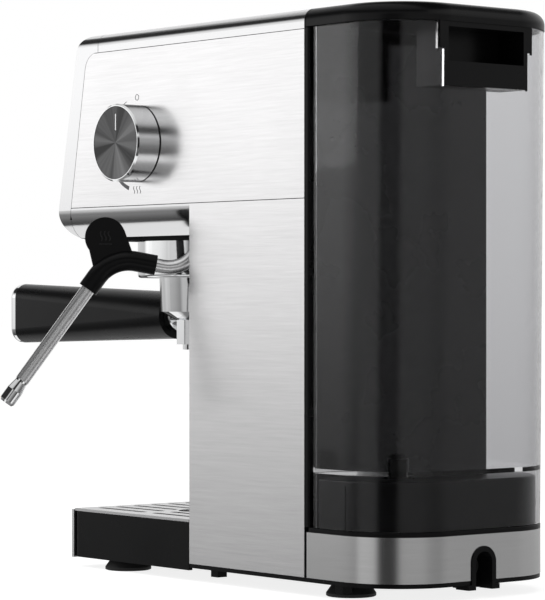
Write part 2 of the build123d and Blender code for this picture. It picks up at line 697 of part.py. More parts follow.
def main():
    os.makedirs("parts", exist_ok=True)
    pieces = {name: as_shape(piece) for name, piece in build().items()}
    boxes = [piece.bounding_box() for piece in pieces.values()]
    middle_x = (min(b.min.X for b in boxes) + max(b.max.X for b in boxes)) / 2
    middle_y = (min(b.min.Y for b in boxes) + max(b.max.Y for b in boxes)) / 2
    print(f"origin moved from ({middle_x:.3f}, {middle_y:.3f})")
    for name, piece in pieces.items():
        export_step(Pos(-middle_x, -middle_y, 0) * piece, f"parts/{name}.step")


main()
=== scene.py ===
"""Looks of a slim espresso machine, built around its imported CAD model."""

import json
import logging
import math
from dataclasses import dataclass
from enum import Enum

import bmesh
import bpy
from mathutils import Matrix, Vector


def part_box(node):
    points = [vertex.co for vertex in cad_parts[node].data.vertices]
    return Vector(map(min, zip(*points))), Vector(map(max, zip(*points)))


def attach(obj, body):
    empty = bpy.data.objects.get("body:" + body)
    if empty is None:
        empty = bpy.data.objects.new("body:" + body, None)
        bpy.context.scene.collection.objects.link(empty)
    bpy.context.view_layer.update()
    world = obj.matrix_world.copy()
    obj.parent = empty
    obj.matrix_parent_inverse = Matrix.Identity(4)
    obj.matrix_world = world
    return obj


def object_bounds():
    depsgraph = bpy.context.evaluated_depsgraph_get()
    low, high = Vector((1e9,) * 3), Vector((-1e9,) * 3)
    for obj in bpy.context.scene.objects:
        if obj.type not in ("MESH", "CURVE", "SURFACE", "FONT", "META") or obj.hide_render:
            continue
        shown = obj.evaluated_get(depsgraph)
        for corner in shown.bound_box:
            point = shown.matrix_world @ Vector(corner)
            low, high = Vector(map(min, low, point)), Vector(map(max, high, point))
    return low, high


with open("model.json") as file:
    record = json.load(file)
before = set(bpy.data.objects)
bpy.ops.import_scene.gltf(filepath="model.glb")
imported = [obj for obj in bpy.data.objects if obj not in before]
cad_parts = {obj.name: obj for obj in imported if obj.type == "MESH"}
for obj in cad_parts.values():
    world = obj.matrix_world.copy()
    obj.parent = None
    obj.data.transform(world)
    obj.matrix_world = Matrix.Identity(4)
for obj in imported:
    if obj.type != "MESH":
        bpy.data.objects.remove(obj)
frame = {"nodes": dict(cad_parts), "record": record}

CAD_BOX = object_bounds()
LOG = logging.getLogger("espresso_machine")
OUTWARD = Vector((1.0, 0.0, 0.0))
BACKWARD = Vector((0.0, 1.0, 0.0))
UPWARD = Vector((0.0, 0.0, 1.0))
WHITE = (1.0, 1.0, 1.0, 1.0)


# ---- node helpers ------------------------------------------------------------------------
class Grain(Enum):
    """Direction in which a sheet is brushed, as stretch factors of its noise."""

    AROUND = (60.0, 60.0, 1700.0)
    ALONG_Y = (1700.0, 60.0, 1700.0)
    SPUN = (500.0, 500.0, 500.0)


def add_node(tree: bpy.types.NodeTree, kind: str, **values: object) -> bpy.types.Node:
    """Add a node and set its properties.

    Args:
        tree: The node tree that gets the node.
        kind: The node's type name.
        **values: Properties to set on the node.

    Returns:
        The new node.
    """
    node = tree.nodes.new(kind)
    for name, value in values.items():
        setattr(node, name, value)
    return node


def feed(tree: bpy.types.NodeTree, target: bpy.types.NodeSocket, source: object) -> None:
    """Link a socket to an input, or set the input to a plain value.

    Args:
        tree: The node tree that holds both.
        target: The input socket.
        source: An output socket, or the value itself.
    """
    if isinstance(source, bpy.types.NodeSocket):
        tree.links.new(source, target)
    else:
        target.default_value = source


def compute(tree: bpy.types.NodeTree, operation: str, *sources: object,
            kind: str = "ShaderNodeMath") -> bpy.types.NodeSocket:
    """Add one Math or Vector Math node.

    Args:
        tree: The node tree that gets the node.
        operation: What the node does.
        *sources: A socket or a value for each input, in order.
        kind: The node's type name.

    Returns:
        The socket of the result.
    """
    node = add_node(tree, kind, operation=operation)
    for target, source in zip(node.inputs, sources):
        feed(tree, target, source)
    return node.outputs[0]


def spread(tree: bpy.types.NodeTree, source: bpy.types.NodeSocket, low: float, high: float,
           to_low: object = 0.0, to_high: object = 1.0) -> bpy.types.NodeSocket:
    """Map one range of values onto another, clamped at both ends.

    Args:
        tree: The node tree that gets the node.
        source: The socket of the value.
        low: The value that gives to_low.
        high: The value that gives to_high.
        to_low: Socket or value put out at the low end.
        to_high: Socket or value put out at the high end.

    Returns:
        The socket of the result.
    """
    node = add_node(tree, "ShaderNodeMapRange", clamp=True)
    for label, value in (("Value", source), ("From Min", low), ("From Max", high),
                         ("To Min", to_low), ("To Max", to_high)):
        feed(tree, node.inputs[label], value)
    return node.outputs["Result"]


def noise(tree: bpy.types.NodeTree, place: bpy.types.NodeSocket, scale: object,
          detail: float = 2.0) -> bpy.types.NodeSocket:
    """Add one noise texture.

    Args:
        tree: The node tree that gets the node.
        place: The socket of the place it is read at.
        scale: Socket or value of its scale.
        detail: How many finer layers it has.

    Returns:
        The socket of the grey value.
    """
    node = add_node(tree, "ShaderNodeTexNoise")
    for label, value in (("Vector", place), ("Scale", scale), ("Detail", detail)):
        feed(tree, node.inputs[label], value)
    return node.outputs["Fac"]


def grey_ramp(tree: bpy.types.NodeTree, place: bpy.types.NodeSocket,
              stops: list[tuple[float, float]]) -> bpy.types.NodeSocket:
    """Add a grey colour ramp through some stops.

    Args:
        tree: The node tree that gets the ramp.
        place: The socket of the place on the ramp, 0 to 1.
        stops: Position and grey level of each stop, in rising order.

    Returns:
        The socket of the colour.
    """
    node = add_node(tree, "ShaderNodeValToRGB")
    band = node.color_ramp
    for position, level in stops[1:-1]:
        band.elements.new(position).color = (level, level, level, 1.0)
    for element, (position, level) in ((band.elements[0], stops[0]),
                                       (band.elements[-1], stops[-1])):
        element.position = position
        element.color = (level, level, level, 1.0)
    tree.links.new(place, node.inputs["Fac"])
    return node.outputs["Color"]


def mix(tree: bpy.types.NodeTree, share: object, first: object, second: object,
        blend: str = "MIX") -> bpy.types.NodeSocket:
    """Mix two colours.

    Args:
        tree: The node tree that gets the node.
        share: Socket or value of the second colour's share.
        first: Socket or value of the first colour.
        second: Socket or value of the second colour.
        blend: How the two are mixed.

    Returns:
        The socket of the mixed colour.
    """
    node = add_node(tree, "ShaderNodeMix", data_type="RGBA", blend_type=blend)
    for label, value in (("Factor", share), ("A", first), ("B", second)):
        feed(tree, node.inputs[label], value)
    return node.outputs["Result"]


def open_group(name: str, inputs: dict[str, tuple[str, object]],
               outputs: dict[str, str]) -> tuple[bpy.types.NodeTree, bpy.types.Node, bpy.types.Node]:
    """Start a shader node group with named sockets.

    Args:
        name: The group's name.
        inputs: Socket name to its type and default value.
        outputs: Socket name to its type.

    Returns:
        The group's tree, its input node and its output node.
    """
    tree = bpy.data.node_groups.new(name, "ShaderNodeTree")
    for label, (kind, default) in inputs.items():
        socket = tree.interface.new_socket(name=label, in_out="INPUT", socket_type=kind)
        socket.default_value = default
    for label, kind in outputs.items():
        tree.interface.new_socket(name=label, in_out="OUTPUT", socket_type=kind)
    return tree, add_node(tree, "NodeGroupInput"), add_node(tree, "NodeGroupOutput")


# ---- shared effects ----------------------------------------------------------------------
class SharedEffects:
    """The node groups that several finishes use."""

    def __init__(self) -> None:
        """Build each group once."""
        self.brushing = self._brushing()
        self.smudges = self._smudges()
        self.moulding = self._moulding()
        self.painted_glints = self._painted_glints()

    @staticmethod
    def _brushing() -> bpy.types.NodeTree:
        """Fine drawn lines along one direction, with broader tonal streaks."""
        tree, enter, leave = open_group(
            "brushed_lines",
            {"Stretch": ("NodeSocketVector", Grain.AROUND.value),
             "Contrast": ("NodeSocketFloat", 0.1)},
            {"Height": "NodeSocketFloat", "Tone": "NodeSocketFloat"})
        place = add_node(tree, "ShaderNodeTexCoord").outputs["Object"]
        stretched = compute(tree, "MULTIPLY", place, enter.outputs["Stretch"],
                            kind="ShaderNodeVectorMath")
        wider = add_node(tree, "ShaderNodeVectorMath", operation="SCALE")
        wider.inputs["Scale"].default_value = 0.35
        tree.links.new(stretched, wider.inputs[0])
        both = compute(tree, "ADD", noise(tree, stretched, 1.0, 3.0),
                       noise(tree, wider.outputs[0], 1.0, 5.0))
        centred = compute(tree, "SUBTRACT", both, 1.0)
        feed(tree, leave.inputs["Height"], both)
        feed(tree, leave.inputs["Tone"],
             compute(tree, "MULTIPLY_ADD", centred, enter.outputs["Contrast"], 1.0))
        return tree

    @staticmethod
    def _smudges() -> bpy.types.NodeTree:
        """Soft cloudy variation of gloss, as on a handled surface."""
        tree, enter, leave = open_group(
            "soft_smudges",
            {"Scale": ("NodeSocketFloat", 14.0), "Low": ("NodeSocketFloat", 0.2),
             "High": ("NodeSocketFloat", 0.3)},
            {"Roughness": "NodeSocketFloat", "Mask": "NodeSocketFloat"})
        place = add_node(tree, "ShaderNodeTexCoord").outputs["Object"]
        cloud = noise(tree, place, enter.outputs["Scale"], 4.0)
        feed(tree, leave.inputs["Mask"], cloud)
        feed(tree, leave.inputs["Roughness"],
             spread(tree, cloud, 0.35, 0.7, enter.outputs["Low"], enter.outputs["High"]))
        return tree

    @staticmethod
    def _moulding() -> bpy.types.NodeTree:
        """Fine pebbled grain of a spark-eroded mould, with a slight tone change."""
        tree, enter, leave = open_group(
            "moulded_grain",
            {"Scale": ("NodeSocketFloat", 1800.0), "Contrast": ("NodeSocketFloat", 0.2)},
            {"Height": "NodeSocketFloat", "Tone": "NodeSocketFloat"})
        place = add_node(tree, "ShaderNodeTexCoord").outputs["Object"]
        centred = compute(tree, "SUBTRACT", noise(tree, place, 22.0), 0.5)
        feed(tree, leave.inputs["Height"], noise(tree, place, enter.outputs["Scale"]))
        feed(tree, leave.inputs["Tone"],
             compute(tree, "MULTIPLY_ADD", centred, enter.outputs["Contrast"], 1.0))
        return tree

    @staticmethod
    def _painted_glints() -> bpy.types.NodeTree:
        """Painted highlight: light and dark wedges round an axis along X, tinted into a disc's
        colour to stand in for the glints of its spun face.
        """
        tree, enter, leave = open_group(
            "painted_glint_wedges",
            {"Centre": ("NodeSocketVector", (0.0, 0.0, 0.0)),
             "Low": ("NodeSocketFloat", 0.5), "High": ("NodeSocketFloat", 2.0)},
            {"Tone": "NodeSocketFloat"})
        place = add_node(tree, "ShaderNodeTexCoord").outputs["Object"]
        kind = "ShaderNodeVectorMath"
        offset = compute(tree, "SUBTRACT", place, enter.outputs["Centre"], kind=kind)
        flat = compute(tree, "MULTIPLY", offset, (0.0, 1.0, 1.0), kind=kind)
        wedge = noise(tree, compute(tree, "NORMALIZE", flat, kind=kind), 1.7, 3.0)
        feed(tree, leave.inputs["Tone"],
             spread(tree, wedge, 0.38, 0.66, enter.outputs["Low"], enter.outputs["High"]))
        return tree


# ---- finishes ----------------------------------------------------------------------------
@dataclass(frozen=True)
class Finish:
    """What every finish shares: colour, roughness range, and its clouds' scale per metre."""

    colour: tuple[float, float, float]
    rough: tuple[float, float]
    clouds: float = 11.0

    def start(self, name: str) -> tuple[bpy.types.Material, bpy.types.Node]:
        """Make a material whose Principled BSDF is ready to be fed.

        Args:
            name: The material's name.

        Returns:
            The material and its shader node.
        """
        material = bpy.data.materials.new(name)
        material.use_nodes = True
        shader = material.node_tree.nodes["Principled BSDF"]
        shader.inputs["Base Color"].default_value = (*self.colour, 1.0)
        shader.inputs["Roughness"].default_value = self.rough[0]
        return material, shader

    def vary_gloss(self, material: bpy.types.Material, shader: bpy.types.Node,
                   effects: SharedEffects) -> None:
        """Let the roughness drift between the finish's two values.

        Args:
            material: The material being made.
            shader: Its Principled BSDF.
            effects: The shared node groups.
        """
        tree = material.node_tree
        cloud = add_node(tree, "ShaderNodeGroup", node_tree=effects.smudges)
        cloud.inputs["Scale"].default_value = self.clouds
        cloud.inputs["Low"].default_value, cloud.inputs["High"].default_value = self.rough
        tree.links.new(cloud.outputs["Roughness"], shader.inputs["Roughness"])

    def tint(self, material: bpy.types.Material, shader: bpy.types.Node,
             tone: bpy.types.NodeSocket) -> None:
        """Multiply the colour by a tone that changes over the surface.

        Args:
            material: The material being made.
            shader: Its Principled BSDF.
            tone: The socket that puts out the tone, about 1.
        """
        tree = material.node_tree
        scale = add_node(tree, "ShaderNodeVectorMath", operation="SCALE")
        scale.inputs[0].default_value = self.colour
        tree.links.new(tone, scale.inputs["Scale"])
        tree.links.new(scale.outputs[0], shader.inputs["Base Color"])

    @staticmethod
    def emboss(material: bpy.types.Material, shader: bpy.types.Node,
               height: bpy.types.NodeSocket, depth: float) -> None:
        """Feed a height through a Bump node into the shader's normal.

        Args:
            material: The material being made.
            shader: Its Principled BSDF.
            height: The socket that puts out the height.
            depth: How deep the relief is, in metres.
        """
        tree = material.node_tree
        bump = add_node(tree, "ShaderNodeBump")
        bump.inputs["Strength"].default_value = 1.0
        bump.inputs["Distance"].default_value = depth
        tree.links.new(height, bump.inputs["Height"])
        tree.links.new(bump.outputs["Normal"], shader.inputs["Normal"])


@dataclass(frozen=True)
class Metal(Finish):
    """Bare metal, brushed, spun or polished."""

    grain: Grain = Grain.AROUND
    lines: float = 0.0
    contrast: float = 0.08
    # Strength of the spun grain's anisotropy; a finish with it also gets painted highlight wedges in
    # its colour.
    spun: float = 0.0

    def make(self, name: str, effects: SharedEffects) -> bpy.types.Material:
        """Build the material.

        Args:
            name: The material's name.
            effects: The shared node groups.

        Returns:
            The finished material.
        """
        material, shader = self.start(name)
        shader.inputs["Metallic"].default_value = 1.0
        shader.inputs["Anisotropic"].default_value = self.spun
        if self.spun:
            around = add_node(material.node_tree, "ShaderNodeTangent",
                              direction_type="RADIAL", axis="X")
            material.node_tree.links.new(around.outputs["Tangent"], shader.inputs["Tangent"])
            # Painted highlight: light and dark wedges tinted into the colour, standing in for the
            # glints of the spun knob face.
            wedges = add_node(material.node_tree, "ShaderNodeGroup", node_tree=effects.painted_glints)
            wedges.inputs["Centre"].default_value = centre_of("knob_face")
            self.tint(material, shader, wedges.outputs["Tone"])
        self.vary_gloss(material, shader, effects)
        if self.lines:
            drawn = add_node(material.node_tree, "ShaderNodeGroup", node_tree=effects.brushing)
            drawn.inputs["Stretch"].default_value = self.grain.value
            drawn.inputs["Contrast"].default_value = self.contrast
            self.tint(material, shader, drawn.outputs["Tone"])
            self.emboss(material, shader, drawn.outputs["Height"], self.lines)
        return material


@dataclass(frozen=True)
class Moulded(Finish):
    """Moulded plastic or rubber with a pebbled grain."""

    clouds: float = 26.0
    pebble: float = 1800.0
    depth: float = 0.000012
    coat: float = 0.0
    coat_rough: float = 0.04
    gloss: float = 0.3

    def make(self, name: str, effects: SharedEffects) -> bpy.types.Material:
        """Build the material.

        Args:
            name: The material's name.
            effects: The shared node groups.

        Returns:
            The finished material.
        """
        material, shader = self.start(name)
        shader.inputs["Coat Weight"].default_value = self.coat
        shader.inputs["Coat Roughness"].default_value = self.coat_rough
        shader.inputs["Specular IOR Level"].default_value = self.gloss
        self.vary_gloss(material, shader, effects)
        grain = add_node(material.node_tree, "ShaderNodeGroup", node_tree=effects.moulding)
        grain.inputs["Scale"].default_value = self.pebble
        self.tint(material, shader, grain.outputs["Tone"])
        self.emboss(material, shader, grain.outputs["Height"], self.depth)
        return material


@dataclass(frozen=True)
class Clear(Finish):
    """Transparent moulding, slightly wavy."""

    clouds: float = 9.0
    bend: float = 1.46
    wave: float = 0.00004
    wave_scale: float = 7.0

    def make(self, name: str, effects: SharedEffects) -> bpy.types.Material:
        """Build the material.

        Args:
            name: The material's name.
            effects: The shared node groups.

        Returns:
            The finished material.
        """
        material, shader = self.start(name)
        shader.inputs["Transmission Weight"].default_value = 1.0
        shader.inputs["IOR"].default_value = self.bend
        self.vary_gloss(material, shader, effects)
        cloud = add_node(material.node_tree, "ShaderNodeGroup", node_tree=effects.smudges)
        cloud.inputs["Scale"].default_value = self.wave_scale
        self.emboss(material, shader, cloud.outputs["Mask"], self.wave)
        return material


FINISHES = {
    "brushed_steel_panel": Metal((0.85, 0.845, 0.85), (0.23, 0.27), lines=0.000004, contrast=0.12),
    "satin_steel_band": Metal((0.72, 0.72, 0.72), (0.20, 0.24), lines=0.000003, contrast=0.08),
    "satin_chrome_trim": Metal((0.72, 0.72, 0.725), (0.12, 0.15)),
    "polished_chrome": Metal((0.82, 0.825, 0.83), (0.045, 0.09)),
    # The knob face's colour carries painted highlight wedges.
    "knob_face_metal": Metal((0.085, 0.085, 0.086), (0.24, 0.28), spun=0.7),
    "warming_plate_steel": Metal((0.66, 0.66, 0.665), (0.22, 0.3), grain=Grain.ALONG_Y,
                                 lines=0.000005, contrast=0.14),
    "tray_strip_metal": Metal((0.78, 0.78, 0.785), (0.22, 0.27), lines=0.000003),
    "black_satin_plastic": Moulded((0.003, 0.003, 0.0032), (0.24, 0.30), gloss=0.12),
    "dock_plastic": Moulded((0.006, 0.006, 0.0063), (0.28, 0.34), gloss=0.2),
    "lid_plastic": Moulded((0.0025, 0.0025, 0.0027), (0.24, 0.28), gloss=0.16),
    "handle_plastic": Moulded((0.0028, 0.0028, 0.003), (0.26, 0.32), gloss=0.12),
    "control_panel_gloss": Moulded((0.004, 0.004, 0.0045), (0.10, 0.14), depth=0.000002, coat=0.5),
    "button_metal": Metal((0.74, 0.74, 0.75), (0.16, 0.2), grain=Grain.SPUN, lines=0.000001),
    "lamp_lens": Clear((0.9, 0.9, 0.86), (0.25, 0.3)),
    "clear_tank_plastic": Clear((0.84, 0.84, 0.852), (0.02, 0.04), bend=1.31),
    "white_plastic": Moulded((0.7, 0.7, 0.68), (0.25, 0.3)),
    "soft_rubber": Moulded((0.012, 0.012, 0.012), (0.55, 0.62), pebble=1100.0, depth=0.00003),
    "silicone_hose": Moulded((0.62, 0.62, 0.6), (0.35, 0.4), depth=0.000004),
    "ptfe_hose": Moulded((0.75, 0.75, 0.73), (0.3, 0.35), depth=0.000002),
    "galvanised_sheet": Metal((0.56, 0.57, 0.59), (0.35, 0.5), grain=Grain.SPUN, lines=0.00001),
    "cast_aluminium": Metal((0.58, 0.58, 0.59), (0.42, 0.5), grain=Grain.SPUN, lines=0.00003),
    "valve_brass": Metal((0.72, 0.55, 0.26), (0.22, 0.3)),
    "steel_fittings": Metal((0.66, 0.66, 0.67), (0.2, 0.28), grain=Grain.SPUN, lines=0.000002),
    "pump_plastic": Moulded((0.05, 0.05, 0.055), (0.35, 0.4)),
    "circuit_board": Moulded((0.02, 0.11, 0.05), (0.2, 0.26), coat=0.4),
    "seat_plastic": Moulded((0.05, 0.05, 0.05), (0.4, 0.45)),
}
OWN_FINISHES = {
    "wand_tube": Metal((0.80, 0.80, 0.805), (0.25, 0.30)),
    "underside": Moulded((0.0025, 0.0025, 0.0027), (0.6, 0.7), gloss=0.02),
}
MARK_FINISHES = {
    "printed_mark": Moulded((0.10, 0.10, 0.105), (0.5, 0.55), depth=0.000002),
    "pointer_paint": Moulded((0.72, 0.72, 0.72), (0.4, 0.45), depth=0.000002),
    "moulded_mark": Moulded((0.010, 0.010, 0.0105), (0.3, 0.36), depth=0.000004, gloss=0.2),
    # Near-black painted shade for the strips in the head's seams.
    "seam_painted_shade": Moulded((0.0012, 0.0012, 0.0012), (0.7, 0.8), depth=0.000004, gloss=0.05),
}


class Wardrobe:
    """All materials, made once, and the dressing of the CAD nodes."""

    def __init__(self) -> None:
        """Make every material."""
        effects = SharedEffects()
        self.materials = {name: finish.make(name, effects)
                          for name, finish in {**FINISHES, **OWN_FINISHES, **MARK_FINISHES}.items()}

    def dress_frame(self) -> None:
        """Give every CAD node the finish of its material slot."""
        for row in frame["record"]["subparts"]:
            node = frame["nodes"][row["node"]]
            node.data.materials.clear()
            finish = row["node"] if row["node"] in OWN_FINISHES else row["material_slot"]
            node.data.materials.append(self.materials[finish])

    def dress(self, piece: bpy.types.Object, finish: str) -> None:
        """Give a piece one finish.

        Args:
            piece: The object to dress.
            finish: The material's name.
        """
        piece.data.materials.append(self.materials[finish])


# ---- mesh helpers ------------------------------------------------------------------------
def mm(*values: float) -> Vector:
    """Turn millimetres into a vector in metres."""
    return Vector(values) / 1000.0


def centre_of(node: str) -> Vector:
    """Centre of a CAD node's box at rest."""
    low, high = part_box(node)
    return (Vector(low) + Vector(high)) / 2


def add_object(mesh: bmesh.types.BMesh, name: str) -> bpy.types.Object:
    """Turn a finished mesh into an object of the scene.

    Args:
        mesh: The mesh, which is used up.
        name: The object's name.

    Returns:
        The new object.
    """
    data = bpy.data.meshes.new(name)
    mesh.to_mesh(data)
    mesh.free()
    piece = bpy.data.objects.new(name, data)
    bpy.context.scene.collection.objects.link(piece)
    return piece


def run_at(points: list[tuple[float, float]], i: int) -> Vector:
    """Direction of a line through some points, at one of them.

    Args:
        points: The line's points.
        i: Which point.

    Returns:
        The unit vector from the point before to the point after.
    """
    ahead = Vector(points[min(i + 1, len(points) - 1)])
    return (ahead - Vector(points[max(i - 1, 0)])).normalized()


@dataclass
class FlatArt:
    """Raised marks drawn on a plane, as closed outlines with a small thickness."""

    origin: Vector
    right: Vector
    up: Vector
    thickness: float

    def __post_init__(self) -> None:
        """Start an empty mesh."""
        self.mesh = bmesh.new()

    def outline(self, points: list[tuple[float, float]]) -> None:
        """Add one closed shape.

        Args:
            points: Its corners in millimetres, right and up from the origin.
        """
        out = self.right.cross(self.up).normalized() * self.thickness
        ring = [self.origin + self.right * (x / 1000) + self.up * (y / 1000) for x, y in points]
        lower = [self.mesh.verts.new(p) for p in ring]
        upper = [self.mesh.verts.new(p + out) for p in ring]
        self.mesh.faces.new(upper)
        self.mesh.faces.new(list(reversed(lower)))
        for i in range(len(ring)):
            j = (i + 1) % len(ring)
            self.mesh.faces.new((lower[i], lower[j], upper[j], upper[i]))

    def arc_band(self, centre: tuple[float, float], radius: float, sweep: tuple[float, float],
                 width: tuple[float, float], steps: int = 28) -> None:
        """Add an arc whose width changes evenly along it.

        Args:
            centre: The arc's centre in millimetres.
            radius: Its middle radius in millimetres.
            sweep: Start and end angle in degrees.
            width: Width at the start and at the end, in millimetres.
            steps: How many straight pieces make it up.
        """
        outer, inner = [], []
        for i in range(steps + 1):
            share = i / steps
            turn = math.radians(sweep[0] + (sweep[1] - sweep[0]) * share)
            half = (width[0] + (width[1] - width[0]) * share) / 2
            for side, ring in ((half, outer), (-half, inner)):
                ring.append((centre[0] + (radius + side) * math.cos(turn),
                             centre[1] + (radius + side) * math.sin(turn)))
        self.outline(outer + inner[::-1])

    def ring(self, centre: tuple[float, float], radius: float, width: float) -> None:
        """Add a full ring as two half arcs."""
        for start in (0.0, 180.0):
            self.arc_band(centre, radius, (start, start + 180.0), (width, width), 16)

    def stroke(self, points: list[tuple[float, float]], width: float) -> None:
        """Add a line of even width through some points.

        Args:
            points: The line's points in millimetres.
            width: Its width in millimetres.
        """
        left, right = [], []
        for i, (x, y) in enumerate(points):
            run = run_at(points, i)
            left.append((x - run.y * width / 2, y + run.x * width / 2))
            right.append((x + run.y * width / 2, y - run.x * width / 2))
        self.outline(left[::-1] + right)

    def steam(self, centre: tuple[float, float], spacing: float, height: float, swing: float,
              width: float) -> None:
        """Add three upright waves side by side.

        Args:
            centre: The middle wave's middle, in millimetres.
            spacing: Distance from wave to wave in millimetres.
            height: Height of a wave in millimetres.
            swing: How far a wave swings to each side in millimetres.
            width: Width of the line in millimetres.
        """
        steps = 14
        for shift in (-spacing, 0.0, spacing):
            self.stroke([(centre[0] + shift + swing * math.sin(2 * math.pi * i / steps),
                          centre[1] + height * (i / steps - 0.5)) for i in range(steps + 1)],
                        width)

    def finish(self, name: str) -> bpy.types.Object:
        """Close the mesh and make it an object."""
        bmesh.ops.recalc_face_normals(self.mesh, faces=self.mesh.faces)
        return add_object(self.mesh, name)


# ---- sub-assemblies ----------------------------------------------------------------------
@dataclass
class Assembly:
    """Added pieces that belong together, dressed from one wardrobe."""

    wardrobe: Wardrobe

    def attach(self, piece: bpy.types.Object, body: str, slot: str,
               finish: str) -> bpy.types.Object:
        """Let a piece ride on a body and dress it.

        Args:
            piece: The piece.
            body: The CAD body it rides on.
            slot: The record's material slot it belongs to; not used.
            finish: The material's name.

        Returns:
            The same piece.
        """
        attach(piece, body)
        self.wardrobe.dress(piece, finish)
        return piece


@dataclass
class SteamControl(Assembly):
    """The knob's pointer and the generic marks printed round it, in millimetres."""

    pointer_half: float = 0.38
    pointer_reach: tuple[float, float] = (6.9, 16.1)
    pointer_depth: float = 0.3
    inlay: float = 0.25
    print_thickness: float = 0.06
    mark_radius: float = 25.9
    closed_ring: tuple[float, float] = (1.6, 0.36)
    wave_spacing: float = 2.8
    wave_height: float = 4.0
    wave_swing: float = 0.55
    wave_line: float = 0.42
    arc_sweep: tuple[float, float] = (112.0, 253.0)
    arc_width: tuple[float, float] = (0.3, 2.2)

    def build(self) -> list[bpy.types.Object]:
        """Make the pointer and the marks."""
        return [self._pointer(), self._marks()]

    def _pointer(self) -> bpy.types.Object:
        """White inlay in the groove of the knob's face."""
        face = centre_of("knob_face")
        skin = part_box("knob_face")[1][0] - self.pointer_depth / 1000
        art = FlatArt(Vector((skin, face.y, face.z)), BACKWARD, UPWARD, self.inlay / 1000)
        half = self.pointer_half
        low, high = self.pointer_reach
        art.outline([(-half, low), (half, low), (half, high), (-half, high)])
        return self.attach(art.finish("knob_pointer"), "knob", "knob_face_metal", "pointer_paint")

    def _marks(self) -> bpy.types.Object:
        """Closed mark, steam mark and the tapering arc between them."""
        face = centre_of("knob_face")
        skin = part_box("head_panel_right")[1][0]
        art = FlatArt(Vector((skin, face.y, face.z)), BACKWARD, UPWARD,
                      self.print_thickness / 1000)
        art.ring((0.0, self.mark_radius), *self.closed_ring)
        art.steam((0.0, -self.mark_radius), self.wave_spacing, self.wave_height,
                  self.wave_swing, self.wave_line)
        art.arc_band((0.0, 0.0), self.mark_radius, self.arc_sweep, self.arc_width, 44)
        return self.attach(art.finish("steam_marks"), "machine", "brushed_steel_panel",
                           "printed_mark")


@dataclass
class ThumbTab(Assembly):
    """The raised steam mark on both faces of the wand's thumb tab, in millimetres."""

    reach: float = 52.7
    height: float = 188.2
    turn: float = 57.0
    half_thickness: float = 1.5
    relief: float = 0.22
    line: float = 0.55
    wave_spacing: float = 2.2
    wave_height: float = 5.4
    wave_up: float = 0.8
    bar_half: float = 3.6

    def build(self) -> list[bpy.types.Object]:
        """Raise the mark on both faces of the tab."""
        seat = centre_of("wand_seat")
        turn = math.radians(self.turn - 90.0)
        outward = Vector((math.cos(turn), math.sin(turn), 0.0))
        side = UPWARD.cross(outward)
        middle = Vector((seat.x, seat.y, self.height / 1000)) + outward * (self.reach / 1000)
        return [self._mark(name, middle + side * (face * self.half_thickness / 1000),
                           outward * -face)
                for name, face in (("tab_mark_rear", 1.0), ("tab_mark_front", -1.0))]

    def _mark(self, name: str, origin: Vector, right: Vector) -> bpy.types.Object:
        """Waves over a bar, on one face.

        Args:
            name: The piece's name.
            origin: Middle of the face.
            right: Direction to the right on that face.

        Returns:
            The new object.
        """
        art = FlatArt(origin, right, UPWARD, self.relief / 1000)
        art.steam((0.0, self.wave_up), self.wave_spacing, self.wave_height, self.line, self.line)
        half = self.bar_half
        art.stroke([(-half, -half), (half, -half)], self.line)
        return self.attach(art.finish(name), "wand", "handle_plastic", "moulded_mark")


@dataclass
class ButtonSigns(Assembly):
    """Generic signs engraved on the three buttons, in millimetres."""

    lean: float = 0.1955
    relief: float = 0.1
    line: float = 0.5

    def build(self) -> list[bpy.types.Object]:
        """Make one sign for each button."""
        out = Vector((0.0, -1.0, self.lean)).normalized()
        up = Vector((0.0, self.lean, 1.0)).normalized()
        pieces = []
        for place, draw in (("left", self._power), ("middle", self._cup), ("right", self._steam)):
            middle = centre_of(f"button_{place}")
            reach = max((Vector(v.co) - middle).dot(out)
                        for v in frame["nodes"][f"button_{place}"].data.vertices)
            art = FlatArt(middle + out * reach, OUTWARD, up, self.relief / 1000)
            draw(art)
            pieces.append(self.attach(art.finish(f"sign_{place}"), f"key_{place}",
                                      "button_metal", "printed_mark"))
        return pieces

    def _power(self, art: FlatArt) -> None:
        """Open ring with an upright line."""
        art.arc_band((0.0, 0.0), 2.6, (125.0, 415.0), (self.line, self.line))
        art.stroke([(0.0, 0.6), (0.0, 3.4)], self.line)

    def _cup(self, art: FlatArt) -> None:
        """Cup with its ear over a saucer line."""
        art.outline([(-2.6, 1.8), (-2.1, -1.5), (1.3, -1.5), (1.8, 1.8)])
        art.arc_band((1.9, 0.5), 1.0, (-80.0, 80.0), (0.4, 0.4), 12)
        art.stroke([(-3.0, -2.6), (2.4, -2.6)], self.line)

    def _steam(self, art: FlatArt) -> None:
        """Three steam waves."""
        art.steam((0.0, 0.0), 1.9, 4.8, self.line, self.line)


